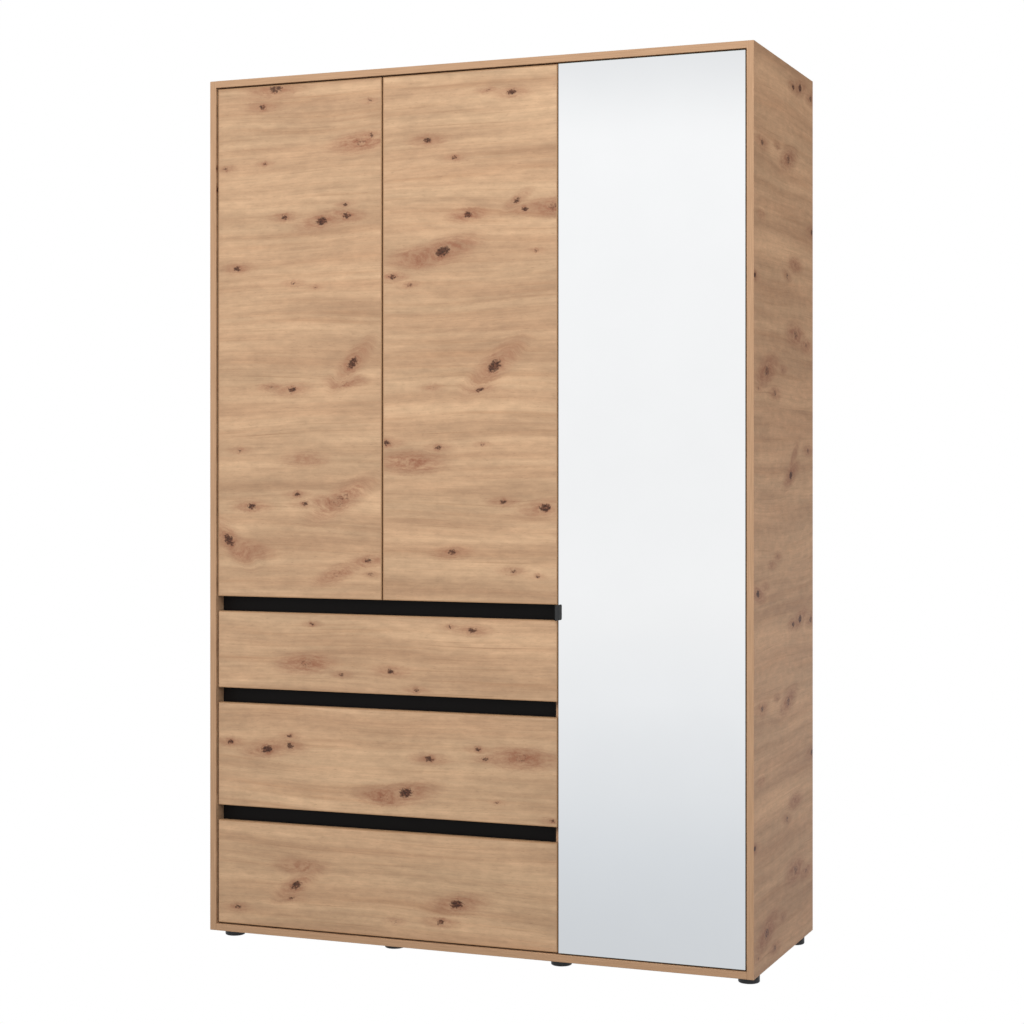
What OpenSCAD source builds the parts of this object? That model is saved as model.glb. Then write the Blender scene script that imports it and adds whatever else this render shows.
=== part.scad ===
/* [Carcass] */
// Outside width of the wardrobe
width = 1350; // [1300:1:1400]
// Height of the body without its feet
body_h = 2045; // [2000:1:2100]
// Outside depth of the carcass
depth = 540; // [520:1:580]
// Thickness of every laminated board
board = 16; // [15:1:18]
// Thickness of the fibreboard back
back_t = 3; // [2.5:0.1:4]
// Height of a foot
foot_h = 22; // [15:1:40]
// Diameter of a foot
foot_d = 48; // [40:1:60]
// Left face of the partition, from the left outer face
partition_x = 880.5; // [878:0.5:884]

/* [Fronts] */
// Gap round every door and drawer front
gap = 3.5; // [3:0.1:4.5]
// How far the fronts lie behind the carcass edge
recess = 5; // [4:0.5:6]
// Height of the recessed grip above each drawer
groove_h = 36; // [30:1:45]
// Height of the two deep drawer fronts
deep_front_h = 247; // [240:1:255]
// Height of the shallow drawer front
shallow_front_h = 184; // [175:1:190]
// Depth of the grip rail's face behind the carcass edge
grip_depth = 37; // [36:1:45]
// Thickness of the mirror glass
mirror_t = 3; // [3:0.5:4]
// How far the mirror door's handle stands in front of the carcass
handle_out = 20; // [15:1:30]

/* [Hinges] */
// Distance of a wooden door's hinge pin from its edge
door_pin_u = 12; // [11:0.5:14]
// Distance of the mirror door's hinge pin from its edge
mirror_pin_u = 20; // [19:0.5:22]
// Depth of each hinge pin behind the front face of the board
pin_v = 8; // [7.8:0.1:8.2]

/* [Drawers] */
// Thickness of the drawer box boards
box_t = 12; // [10:1:15]
// Length of the drawer box and of its runners
box_l = 500; // [450:10:500]
// Width of one runner, from the cabinet side to the box
runner_w = 12.7; // [12.7:0.1:13.5]
// Height of a runner
runner_h = 45; // [40:1:50]
// Height of the shallow drawer box
shallow_box_h = 120; // [100:1:130]
// Height of a deep drawer box
deep_box_h = 180; // [150:1:200]

/* [Inside] */
// Top of the shelf above the hanging space
hat_shelf_z = 1756; // [1700:1:1800]
// Undersides of the loose shelves behind the mirror
loose_shelves = [345, 660, 1370, 1700];
// Underside of the fixed shelf behind the mirror
fixed_shelf_z = 1000; // [950:1:1050]
// Rear edge of every inner shelf
shelf_back = 530; // [510:1:532]

/* [Hidden] */

$fn = 48;
oak = "burlywood";
fibreboard = "wheat";
steel = "silver";
black = "#202020";

// Carcass frame: X from the left outer face, Y from the carcass front edge, Z from its underside.
inner_left = board;
inner_right = width - board;
inner_top = body_h - board;
carcass_back = depth - back_t;
partition_front = recess + pin_v + norm([door_pin_u, pin_v]) + 0.6;
partition_right = partition_x + board;

// Three equal fronts side by side.
front_w = (inner_right - inner_left - 4 * gap) / 3;
door_left_x = inner_left + gap;
door_right_x = door_left_x + front_w + gap;
mirror_x = door_right_x + front_w + gap;
drawer_front_w = 2 * front_w + gap;
front_back = recess + board;

// Heights of the fronts, from the bottom drawer up.
bottom_front_z = board + gap;
middle_front_z = bottom_front_z + deep_front_h + groove_h;
top_front_z = middle_front_z + deep_front_h + groove_h;
door_z = top_front_z + shallow_front_h + groove_h;
door_h = inner_top - gap - door_z;
mirror_h = inner_top - gap - bottom_front_z;

// Grip rails stand a little past their grooves, and the divider shelf meets the top one.
rail_lap = 14;
divider_top = door_z + rail_lap;
rail_back = grip_depth + board;

// Drawer boxes.
box_lift = 16;
bottom_lift = 10;
bottom_t = 3;
slot_depth = 6;
box_left = inner_left + runner_w;
box_right = partition_x - runner_w;
runner_lift = 50;

// Hinge rows, as heights in the carcass frame.
hinge_inset = 110;
door_hinges = [door_z + hinge_inset, door_z + door_h / 2, door_z + door_h - hinge_inset];
mirror_hinge_step = (mirror_h - 2 * hinge_inset) / 3;
mirror_hinges = [for (i = [0:3]) bottom_front_z + hinge_inset + i * mirror_hinge_step];

// Hinge cup and arm.
cup_r = 17.5;
cup_depth = 12.2;
cup_shell = 0.8;
cup_wall = 1.2;
cup_offset = 10.5;
pin_r = 1.3;
pin_bore_r = 1.38;
nose_r = 2.9;
nose_w = 11;
blade_t = 2;
blade_reach = 21;
arm_clear = 2.6;
arm_len = 62;
plate_t = 8;

// Handle of the mirror door.
handle_h = 35;
handle_z = door_z - 0.5 - handle_h;
handle_t = 1.9;
handle_leg = 30;

// Loose shelf pins sit in rows of holes.
pin_hole_r = 2.5;
shelf_pin_r = 2.45;
hole_pitch = 32;
pin_rows_y = [77, 480];

// Hanging rail.
rail_z = hat_shelf_z - board - 46;
rail_y = 290;
rail_wall = 1;

// Two holes for the wall brackets.
bracket_x = [220, 1130];
wall_hole_r = 3;
wall_hole_z = inner_top - 24;

// Cam locks of a fixed board.
cam_r = 7.5;
cam_h = 12.5;
cam_inset = 26;
cam_rows_y = [90, 450];

module in_carcass() {
  translate([-width / 2, handle_out / 2 - depth / 2, foot_h]) children();
}

module block(a, b) {
  translate(a) cube(b - a);
}

// Blind holes for the cams, from the underside of a board between two faces.
module cam_holes(x0, x1, z) {
  for (x = [x0 + cam_inset, x1 - cam_inset], y = cam_rows_y)
    translate([x, y, z - 1]) cylinder(r = cam_r + 0.05, h = cam_h + 1.1);
}

module cams(x0, x1, z) {
  for (x = [x0 + cam_inset, x1 - cam_inset], y = cam_rows_y)
    translate([x, y, z])
      difference() {
        cylinder(r = cam_r, h = cam_h);
        translate([-5, -0.8, -1]) cube([10, 1.6, 2.5]);
        translate([-0.8, -5, -1]) cube([1.6, 10, 2.5]);
      }
}

// Three holes above one another at each corner of a loose shelf, drilled along X from a face.
module pin_holes(face_x, dir) {
  for (z = loose_shelves, i = [-1:1], y = pin_rows_y)
    translate([face_x - dir, y, z - shelf_pin_r + i * hole_pitch])
      rotate([0, dir * 90, 0]) cylinder(r = pin_hole_r, h = 11, $fn = 24);
}

module side_panel_left() {
  color(oak) in_carcass() block([0, 0, 0], [board, carcass_back, body_h]);
}

module side_panel_right() {
  color(oak) in_carcass()
    difference() {
      block([inner_right, 0, 0], [width, carcass_back, body_h]);
      pin_holes(inner_right, 1);
    }
}

module top_panel() {
  color(oak) in_carcass()
    difference() {
      block([inner_left, 0, inner_top], [inner_right, carcass_back, body_h]);
      cam_holes(inner_left, inner_right, inner_top);
    }
}

module bottom_panel() {
  color(oak) in_carcass() block([inner_left, 0, 0], [inner_right, carcass_back, board]);
}

module partition() {
  color(oak) in_carcass()
    difference() {
      block([partition_x, partition_front, board], [partition_right, carcass_back, inner_top]);
      pin_holes(partition_right, -1);
    }
}

module divider_shelf() {
  color(oak) in_carcass()
    difference() {
      block([inner_left, rail_back, divider_top - board], [partition_x, shelf_back, divider_top]);
      cam_holes(inner_left, partition_x, divider_top - board);
    }
}

// Black rail that closes the grip above a drawer.
module grip_rail(groove_z) {
  color(black) in_carcass()
    block([inner_left, grip_depth, groove_z - rail_lap],
          [partition_x, rail_back, groove_z + groove_h + rail_lap]);
}

module grip_rail_top() {
  grip_rail(door_z - groove_h);
}

module grip_rail_middle() {
  grip_rail(top_front_z - groove_h);
}

module grip_rail_bottom() {
  grip_rail(middle_front_z - groove_h);
}

// Sheet of the back between two X positions, with the wall bracket's hole where it has one.
module back_sheet(x0, x1) {
  color(fibreboard) in_carcass()
    difference() {
      block([x0, carcass_back, 2], [x1, depth, body_h - 2]);
      for (x = bracket_x)
        translate([x, carcass_back - 1, wall_hole_z])
          rotate([-90, 0, 0]) cylinder(r = wall_hole_r, h = back_t + 2);
    }
}

back_joint_x = (inner_left + partition_x) / 2;

module back_panel_left() {
  back_sheet(1, back_joint_x - 0.5);
}

module back_panel_middle() {
  back_sheet(back_joint_x + 0.5, partition_x + board / 2 - 0.5);
}

module back_panel_right() {
  back_sheet(partition_x + board / 2 + 0.5, width - 1);
}

module back_joint_strip() {
  color("white") in_carcass()
    block([back_joint_x - 12, carcass_back - 2, board], [back_joint_x + 12, carcass_back, inner_top]);
}

module hat_shelf() {
  color(oak) in_carcass()
    difference() {
      block([inner_left, 45, hat_shelf_z - board], [partition_x, shelf_back, hat_shelf_z]);
      cam_holes(inner_left, partition_x, hat_shelf_z - board);
    }
}

module oval(h, r) {
  translate([-h / 2, -r]) square([h, 2 * r]);
  for (s = [-1, 1]) translate([s * h / 2, 0]) circle(r);
}

module hanging_rail() {
  color(steel) in_carcass()
    translate([inner_left + 2, rail_y, rail_z]) rotate([0, 90, 0])
      linear_extrude(partition_x - inner_left - 4)
        difference() {
          oval(15, 7.5);
          oval(15, 7.5 - rail_wall);
        }
}

// Cup-shaped holder at each end of the hanging rail.
module rail_sockets() {
  color(steel) in_carcass()
    for (s = [[inner_left, 1], [partition_x, -1]])
      translate([s[0], rail_y, rail_z]) rotate([0, s[1] * 90, 0])
        difference() {
          union() {
            linear_extrude(1.8) oval(34, 11);
            linear_extrude(14) oval(15, 10);
          }
          translate([0, 0, 1.8]) linear_extrude(15) oval(15, 7.7);
          for (z = [-1, 1]) translate([z * 23, 0, -1]) cylinder(r = 2.2, h = 4);
        }
}

module fixed_shelf() {
  color(oak) in_carcass()
    difference() {
      block([partition_right, 45, fixed_shelf_z], [inner_right, shelf_back, fixed_shelf_z + board]);
      cam_holes(partition_right, inner_right, fixed_shelf_z);
    }
}

module loose_shelf(z) {
  color(oak) in_carcass()
    block([partition_right + 1, 45, z], [inner_right - 1, shelf_back, z + board]);
}

// Steel pins with a small collar, four under each loose shelf.
module shelf_pins() {
  color(steel) in_carcass()
    for (z = loose_shelves, y = pin_rows_y, s = [[partition_right, 1], [inner_right, -1]])
      translate([s[0], y, z - shelf_pin_r]) rotate([0, s[1] * 90, 0])
        union() {
          translate([0, 0, -9]) cylinder(r = shelf_pin_r, h = 17, $fn = 24);
          difference() {
            cylinder(r = 3.6, h = 0.9, $fn = 24);
            translate([-8, -8, -1]) cube([8 - shelf_pin_r, 16, 3]);
            translate([shelf_pin_r, -8, -1]) cube([8, 16, 3]);
          }
        }
}

module cam_locks() {
  color(steel) in_carcass() {
    cams(inner_left, inner_right, inner_top);
    cams(inner_left, partition_x, divider_top - board);
    cams(inner_left, partition_x, hat_shelf_z - board);
    cams(partition_right, inner_right, fixed_shelf_z);
  }
}

// Round plastic foot with a rounded lower edge.
module foot() {
  r = foot_d / 2;
  rotate_extrude()
    difference() {
      union() {
        square([r - 3, foot_h]);
        translate([0, 3]) square([r, foot_h - 3]);
        translate([r - 3, 3]) circle(3, $fn = 24);
      }
      translate([0, foot_h - 4]) square([5, 5]);
    }
}

foot_side_x = 30;
foot_front_y = 70;
foot_rear_y = 476;

module feet_front() {
  color(black) in_carcass()
    for (p = [[foot_side_x, foot_front_y], [450, foot_front_y + 18], [878, foot_front_y],
              [width - foot_side_x, foot_front_y]])
      translate([p[0], p[1], -foot_h]) foot();
}

module feet_rear() {
  color(black) in_carcass()
    for (x = [foot_side_x, 450, 878, width - foot_side_x])
      translate([x, foot_rear_y, -foot_h]) foot();
}

// Steel angle that holds the wardrobe to a wall.
module wall_brackets() {
  color(steel) in_carcass()
    for (x = bracket_x)
      difference() {
        union() {
          block([x - 15, carcass_back - 40, inner_top - 2], [x + 15, carcass_back, inner_top]);
          block([x - 15, carcass_back - 2, inner_top - 40], [x + 15, carcass_back, inner_top - 2]);
        }
        translate([x, carcass_back - 3, wall_hole_z])
          rotate([-90, 0, 0]) cylinder(r = wall_hole_r, h = 4);
        translate([x, carcass_back - 26, inner_top - 3]) cylinder(r = 2.2, h = 4);
      }
}

// Small blocks that each door closes against.
module door_stops() {
  stop_y = front_back + 0.5;
  color(black) in_carcass() {
    for (x = [door_left_x + front_w - 60, door_right_x + 30, mirror_x + 40])
      block([x, stop_y, inner_top - 12], [x + 30, stop_y + 14, inner_top]);
    block([mirror_x + 40, stop_y, board], [mirror_x + 70, stop_y + 14, board + 12]);
  }
}

// One C-shaped runner member: web at x0..x1, height h, flanges reaching to x2.
module runner_member(x0, x1, x2, h, z) {
  t = 1.2;
  y0 = front_back + 3;
  block([min(x0, x1), y0, z - h / 2], [max(x0, x1), y0 + box_l - 3, z + h / 2]);
  for (s = [-1, 1])
    block([min(x1, x2), y0, z + s * (h / 2 - t / 2) - t / 2],
          [max(x1, x2), y0 + box_l - 3, z + s * (h / 2 - t / 2) + t / 2]);
}

function box_z(front_z) = front_z + box_lift;
drawer_zs = [bottom_front_z, middle_front_z, top_front_z];

// The three nested members of one runner, measured from the cabinet side.
outer_web = [0, 1.2, 6.2];
middle_web = [7.3, 6.1, 1.9];
inner_web = [runner_w, runner_w - 1.2, 7.8];

module runner_pair(web, h, front_z) {
  z = box_z(front_z) + runner_lift;
  runner_member(inner_left + web[0], inner_left + web[1], inner_left + web[2], h, z);
  runner_member(partition_x - web[0], partition_x - web[1], partition_x - web[2], h, z);
}

module cabinet_runners() {
  color(steel) in_carcass() for (z = drawer_zs) runner_pair(outer_web, runner_h, z);
}

// Pocket for a hinge cup in the back of a door, at u from the edge along dir.
module cup_pocket(edge_x, dir, pin_u, z) {
  translate([edge_x + dir * (pin_u + cup_offset), front_back - cup_depth, z])
    rotate([-90, 0, 0]) cylinder(r = cup_r + 0.05, h = cup_depth + 1);
}

module wooden_door(x, edge_x, dir) {
  color(oak) in_carcass()
    difference() {
      block([x, recess, door_z], [x + front_w, front_back, door_z + door_h]);
      for (z = door_hinges) cup_pocket(edge_x, dir, door_pin_u, z);
    }
}

module door_left() {
  wooden_door(door_left_x, door_left_x, 1);
}

module door_right() {
  wooden_door(door_right_x, door_right_x + front_w, -1);
}

handle_screw_z = [handle_z + 9, handle_z + handle_h - 9];
handle_screw_x = mirror_x + 20;

module mirror_door_panel() {
  color(oak) in_carcass()
    difference() {
      block([mirror_x, recess, bottom_front_z],
            [mirror_x + front_w, front_back, bottom_front_z + mirror_h]);
      for (z = mirror_hinges) cup_pocket(mirror_x + front_w, -1, mirror_pin_u, z);
      for (z = handle_screw_z)
        translate([handle_screw_x, front_back - 12, z])
          rotate([-90, 0, 0]) cylinder(r = 1.8, h = 14, $fn = 24);
    }
}

module mirror_glass() {
  color("lightsteelblue") in_carcass()
    block([mirror_x, recess - mirror_t, bottom_front_z],
          [mirror_x + front_w, recess, bottom_front_z + mirror_h]);
}

// Bent tab: a leg on the back of the door, a web round its edge and a rounded nose in front.
module mirror_handle() {
  r = 5;
  color(black) in_carcass()
    difference() {
      union() {
        block([mirror_x - handle_t, -handle_out + r, handle_z],
              [mirror_x, front_back, handle_z + handle_h]);
        block([mirror_x - handle_t, -handle_out, handle_z + r],
              [mirror_x, -handle_out + r, handle_z + handle_h - r]);
        for (z = [handle_z + r, handle_z + handle_h - r])
          translate([mirror_x - handle_t, -handle_out + r, z])
            rotate([0, 90, 0]) cylinder(r = r, h = handle_t);
        block([mirror_x - handle_t, front_back, handle_z],
              [mirror_x + handle_leg, front_back + handle_t, handle_z + handle_h]);
      }
      for (z = handle_screw_z)
        translate([handle_screw_x, front_back - 1, z])
          rotate([-90, 0, 0]) cylinder(r = 1.8, h = 4, $fn = 24);
    }
}

module handle_screws() {
  color(steel) in_carcass()
    for (z = handle_screw_z)
      translate([handle_screw_x, front_back - 11, z]) rotate([-90, 0, 0])
        difference() {
          union() {
            cylinder(r = 1.75, h = 11 + handle_t, $fn = 24);
            translate([0, 0, 11 + handle_t]) cylinder(r = 3.4, h = 2);
          }
          for (a = [0, 90])
            rotate(a) translate([-2, -0.4, 11 + handle_t + 0.8]) cube([4, 0.8, 2]);
        }
}

// Pressed steel cup with its flange and the pin that the arm turns on.
module hinge_cup(edge_x, dir, pin_u, z) {
  inner_r = cup_r - cup_wall;
  floor_y = front_back - cup_depth + cup_shell;
  flange_w = 10;
  cup_x = edge_x + dir * (pin_u + cup_offset);
  difference() {
    union() {
      translate([cup_x, front_back - cup_depth, z])
        rotate([-90, 0, 0]) cylinder(r = cup_r, h = cup_depth + cup_wall);
      block([cup_x - flange_w, front_back, z - 30], [cup_x + flange_w, front_back + cup_wall, z + 30]);
    }
    translate([cup_x, floor_y, z]) rotate([-90, 0, 0]) cylinder(r = inner_r, h = cup_depth + 2);
    for (s = [-1, 1])
      translate([cup_x, front_back - 1, z + s * 24])
        rotate([-90, 0, 0]) cylinder(r = 2, h = 4, $fn = 24);
  }
  translate([edge_x + dir * pin_u, recess + pin_v, z - 12.9]) cylinder(r = pin_r, h = 25.8, $fn = 24);
}

module hinge_cups_left() {
  color(steel) in_carcass()
    for (z = door_hinges) hinge_cup(door_left_x, 1, door_pin_u, z);
}

module hinge_cups_right() {
  color(steel) in_carcass()
    for (z = door_hinges) hinge_cup(door_right_x + front_w, -1, door_pin_u, z);
}

module hinge_cups_mirror() {
  color(steel) in_carcass()
    for (z = mirror_hinges) hinge_cup(mirror_x + front_w, -1, mirror_pin_u, z);
}

// Swan-necked arm and its mounting plate, drawn for a face on the left and mirrored by dir.
// face_u is the board that it is screwed to, from the door's edge.
module hinge_arm(edge_x, dir, pin_u, face_u, z) {
  arm_v = pin_v + norm([pin_u, pin_v + mirror_t]) + arm_clear;
  elbow_u = pin_u + blade_reach;
  body_u = face_u + plate_t;
  half = nose_w / 2;
  translate([edge_x, recess, z]) mirror([dir < 0 ? 1 : 0, 0, 0]) {
    difference() {
      union() {
        translate([pin_u, pin_v, -half]) cylinder(r = nose_r, h = nose_w);
        // The bends run into each other, so that the blade is one piece with the arm's body.
        block([pin_u, pin_v - blade_t / 2, -half], [elbow_u + blade_t, pin_v + blade_t / 2, half]);
        block([elbow_u, pin_v - blade_t / 2, -half], [elbow_u + blade_t, arm_v + blade_t, half]);
        block([body_u + 10, arm_v, -half], [elbow_u + blade_t, arm_v + blade_t, half]);
      }
      translate([pin_u, pin_v, -half - 1]) cylinder(r = pin_bore_r, h = nose_w + 2, $fn = 24);
    }
    difference() {
      block([body_u, arm_v, -9], [body_u + 11, arm_v + arm_len, 9]);
      block([body_u - 1, arm_v + 8, -7.8], [body_u + 9.8, arm_v + arm_len + 1, 7.8]);
      for (v = [24, 46])
        translate([body_u + 8, arm_v + v, 0]) rotate([0, 90, 0]) cylinder(r = 3.2, h = 5);
    }
    difference() {
      union() {
        block([face_u, arm_v + 12, -7.6], [body_u, arm_v + arm_len - 4, 7.6]);
        block([face_u, arm_v + 26, -24], [face_u + 2.5, arm_v + 44, 24]);
      }
      for (s = [-1, 1])
        translate([face_u - 1, arm_v + 35, s * 16]) rotate([0, 90, 0]) cylinder(r = 2.6, h = 5);
    }
  }
}

module hinge_arms_left() {
  color(steel) in_carcass()
    for (z = door_hinges) hinge_arm(door_left_x, 1, door_pin_u, -gap, z);
}

module hinge_arms_right() {
  edge_x = door_right_x + front_w;
  color(steel) in_carcass()
    for (z = door_hinges) hinge_arm(edge_x, -1, door_pin_u, edge_x - partition_x, z);
}

module hinge_arms_mirror() {
  color(steel) in_carcass()
    for (z = mirror_hinges) hinge_arm(mirror_x + front_w, -1, mirror_pin_u, -gap, z);
}

// Drawer pieces. Each takes the height of its front's lower edge.
module drawer_front(front_z, front_h) {
  z = box_z(front_z) + bottom_lift;
  color(oak) in_carcass()
    difference() {
      block([door_left_x, recess, front_z], [door_left_x + drawer_front_w, front_back, front_z + front_h]);
      block([box_left + box_t - slot_depth, front_back - slot_depth, z],
            [box_right - box_t + slot_depth, front_back + 1, z + bottom_t]);
    }
}

module drawer_sides(front_z, box_h) {
  z = box_z(front_z);
  color(oak) in_carcass()
    for (s = [[box_left, box_left + box_t - slot_depth], [box_right - box_t, box_right - box_t]])
      difference() {
        block([s[0], front_back, z], [s[0] + box_t, front_back + box_l, z + box_h]);
        block([s[1] - (s[1] > s[0] ? 0 : 1), front_back - 1, z + bottom_lift],
              [s[1] + slot_depth + (s[1] > s[0] ? 1 : 0), front_back + box_l + 1,
               z + bottom_lift + bottom_t]);
      }
}

module drawer_back(front_z, box_h) {
  z = box_z(front_z);
  y = front_back + box_l;
  color(oak) in_carcass()
    block([box_left + box_t, y - box_t, z + bottom_lift + bottom_t],
          [box_right - box_t, y, z + box_h]);
}

module drawer_bottom(front_z) {
  z = box_z(front_z) + bottom_lift;
  color(fibreboard) in_carcass()
    block([box_left + box_t - slot_depth, front_back - slot_depth, z],
          [box_right - box_t + slot_depth, front_back + box_l, z + bottom_t]);
}

module drawer_rails(front_z) {
  color(steel) in_carcass() runner_pair(inner_web, runner_h - 10, front_z);
}

module drawer_mid_rails(front_z) {
  color(steel) in_carcass() runner_pair(middle_web, runner_h - 4, front_z);
}

side_panel_left();
side_panel_right();
top_panel();
bottom_panel();
partition();
divider_shelf();
grip_rail_top();
grip_rail_middle();
grip_rail_bottom();
back_panel_left();
back_panel_middle();
back_panel_right();
back_joint_strip();
hat_shelf();
hanging_rail();
rail_sockets();
fixed_shelf();
loose_shelf(loose_shelves[0]);  // loose_shelf_1
loose_shelf(loose_shelves[1]);  // loose_shelf_2
loose_shelf(loose_shelves[2]);  // loose_shelf_3
loose_shelf(loose_shelves[3]);  // loose_shelf_4
shelf_pins();
cam_locks();
feet_front();
feet_rear();
wall_brackets();
door_stops();
cabinet_runners();
door_left();
door_right();
mirror_door_panel();
mirror_glass();
mirror_handle();
handle_screws();
hinge_cups_left();
hinge_cups_right();
hinge_cups_mirror();
hinge_arms_left();
hinge_arms_right();
hinge_arms_mirror();
drawer_front(top_front_z, shallow_front_h);  // drawer_top_front
drawer_sides(top_front_z, shallow_box_h);  // drawer_top_sides
drawer_back(top_front_z, shallow_box_h);  // drawer_top_back
drawer_bottom(top_front_z);  // drawer_top_bottom
drawer_rails(top_front_z);  // drawer_top_rails
drawer_mid_rails(top_front_z);  // drawer_top_mid_rails
drawer_front(middle_front_z, deep_front_h);  // drawer_middle_front
drawer_sides(middle_front_z, deep_box_h);  // drawer_middle_sides
drawer_back(middle_front_z, deep_box_h);  // drawer_middle_back
drawer_bottom(middle_front_z);  // drawer_middle_bottom
drawer_rails(middle_front_z);  // drawer_middle_rails
drawer_mid_rails(middle_front_z);  // drawer_middle_mid_rails
drawer_front(bottom_front_z, deep_front_h);  // drawer_bottom_front
drawer_sides(bottom_front_z, deep_box_h);  // drawer_bottom_sides
drawer_back(bottom_front_z, deep_box_h);  // drawer_bottom_back
drawer_bottom(bottom_front_z);  // drawer_bottom_bottom
drawer_rails(bottom_front_z);  // drawer_bottom_rails
drawer_mid_rails(bottom_front_z);  // drawer_bottom_mid_rails
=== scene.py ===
import math

import bmesh
import bpy
from mathutils import Matrix, Vector


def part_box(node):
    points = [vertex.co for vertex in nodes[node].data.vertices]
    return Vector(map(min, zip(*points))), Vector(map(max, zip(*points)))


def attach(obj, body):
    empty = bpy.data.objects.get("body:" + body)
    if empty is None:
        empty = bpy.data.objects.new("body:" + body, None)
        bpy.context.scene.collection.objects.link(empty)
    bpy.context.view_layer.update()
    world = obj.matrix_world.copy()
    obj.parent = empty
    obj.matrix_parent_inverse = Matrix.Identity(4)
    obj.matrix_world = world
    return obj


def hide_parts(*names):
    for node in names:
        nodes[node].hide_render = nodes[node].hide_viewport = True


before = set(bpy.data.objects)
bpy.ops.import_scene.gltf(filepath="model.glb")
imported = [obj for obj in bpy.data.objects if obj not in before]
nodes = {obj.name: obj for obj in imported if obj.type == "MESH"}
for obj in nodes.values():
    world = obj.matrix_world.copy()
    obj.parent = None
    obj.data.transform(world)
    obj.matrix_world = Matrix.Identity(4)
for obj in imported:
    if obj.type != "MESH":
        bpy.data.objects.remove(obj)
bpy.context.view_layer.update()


# ---- Carcass -------------------------------------------------------------------------------
# Sides, top, bottom, partition and inner shelves: 16 mm chipboard faced with printed melamine
# laminate, sawn square and edged with a thin glued plastic band. Cam locks and dowels hold them.

MM_PER_M = 1000.0
SMOOTH = {"interpolation_type": "SMOOTHSTEP"}
COLOURS = {"data_type": "RGBA"}


def rgb(hex_colour):
    """A linear colour with alpha from an sRGB hex value."""
    parts = [int(hex_colour[i:i + 2], 16) / 255 for i in (1, 3, 5)]
    linear = [c / 12.92 if c <= 0.04045 else ((c + 0.055) / 1.055) ** 2.4 for c in parts]
    return (*linear, 1.0)


def add(tree, kind, sockets=None, **settings):
    """One node with its settings; sockets maps an input to a value or to another node's output."""
    made = tree.nodes.new("ShaderNode" + kind)
    for name, value in settings.items():
        setattr(made, name, value)
    for socket, value in (sockets or {}).items():
        if isinstance(value, bpy.types.NodeSocket):
            tree.links.new(value, made.inputs[socket])
        else:
            made.inputs[socket].default_value = value
    return made


def new_group(name, inputs, outputs):
    """An empty node group, the sockets that it is given and the sockets of its result."""
    tree = bpy.data.node_groups.new(name, "ShaderNodeTree")
    for direction, sockets in (("INPUT", inputs), ("OUTPUT", outputs)):
        for socket, kind in sockets:
            tree.interface.new_socket(socket, in_out=direction, socket_type="NodeSocket" + kind)
    given, result = tree.nodes.new("NodeGroupInput"), tree.nodes.new("NodeGroupOutput")
    return tree, given.outputs, result.inputs


def new_material(name):
    """A material with its tree and its Principled shader, joined to the output."""
    made = bpy.data.materials.new(name)
    made.use_nodes = True
    tree = made.node_tree
    tree.nodes.clear()
    shader = add(tree, "BsdfPrincipled")
    add(tree, "OutputMaterial", {"Surface": shader.outputs[0]})
    return made, tree, shader


def stretched_noise(tree, vector, length, width, detail=2.0, rough=0.5):
    """Noise whose blots are length by width millimetres, as a value of about 0 to 1."""
    cells = add(tree, "VectorMath", {0: vector, 1: (1 / length, 1 / width, 1.0)}, operation="MULTIPLY")
    noise = add(tree, "TexNoise", {"Vector": cells.outputs[0], "Scale": 1.0, "Detail": detail,
                                   "Roughness": rough})
    return noise.outputs[0]


# One knot of the printed oak. Flow is the place in the grain in millimetres, which opens round the
# knot, and Rag makes outlines uneven. A dark heart and a brown-red halo add to what is there.
HALO_SHAPE = (0.18, 0.36, 0.0)
GRAIN_OPENING = (0.0, -0.72, 0.0)
tree, given, result = new_group(
    "oak_knot",
    [("Flow", "Vector"), ("Rag", "Vector"), ("Heart", "Float"), ("Blush", "Float"),
     ("Centre", "Vector"), ("Tilt", "Vector"), ("Size", "Vector"), ("Depth", "Float"),
     ("Redness", "Float")],
    [("Flow", "Vector"), ("Heart", "Float"), ("Blush", "Float")])
uneven = add(tree, "VectorMath", {0: given["Flow"], 1: given["Rag"]}, operation="ADD").outputs[0]
in_knot = add(tree, "Mapping", {0: uneven, 1: given["Centre"], 2: given["Tilt"], 3: given["Size"]},
              vector_type="TEXTURE").outputs[0]
reach = add(tree, "VectorMath", {0: in_knot}, operation="LENGTH").outputs["Value"]
heart = add(tree, "MapRange", {0: reach, 1: 1.5, 2: 0.5}, **SMOOTH).outputs[0]
heart = add(tree, "Math", {0: heart, 1: given["Depth"]}, operation="MULTIPLY").outputs[0]
heart = add(tree, "Math", {0: heart, 1: given["Heart"]}, operation="MAXIMUM").outputs[0]
far = add(tree, "VectorMath", {0: in_knot, 1: HALO_SHAPE}, operation="MULTIPLY").outputs[0]
far = add(tree, "VectorMath", {0: far}, operation="LENGTH").outputs["Value"]
halo = add(tree, "MapRange", {0: far, 1: 1.25, 2: 0.1}, **SMOOTH).outputs[0]
blush = add(tree, "Math", {0: halo, 1: given["Redness"]}, operation="MULTIPLY").outputs[0]
collar = add(tree, "MapRange", {0: reach, 1: 3.0, 2: 0.8}, **SMOOTH).outputs[0]
collar = add(tree, "Math", {0: collar, 1: given["Depth"]}, operation="MULTIPLY").outputs[0]
blush = add(tree, "Math", {0: blush, 1: collar}, operation="MAXIMUM").outputs[0]
blush = add(tree, "Math", {0: blush, 1: given["Blush"]}, operation="MAXIMUM").outputs[0]
away = add(tree, "VectorMath", {0: given["Flow"], 1: given["Centre"]}, operation="SUBTRACT").outputs[0]
squeeze = add(tree, "VectorMath", {0: away, 1: GRAIN_OPENING}, operation="MULTIPLY").outputs[0]
squeeze = add(tree, "VectorMath", {0: squeeze, "Scale": halo}, operation="SCALE").outputs[0]
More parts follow.
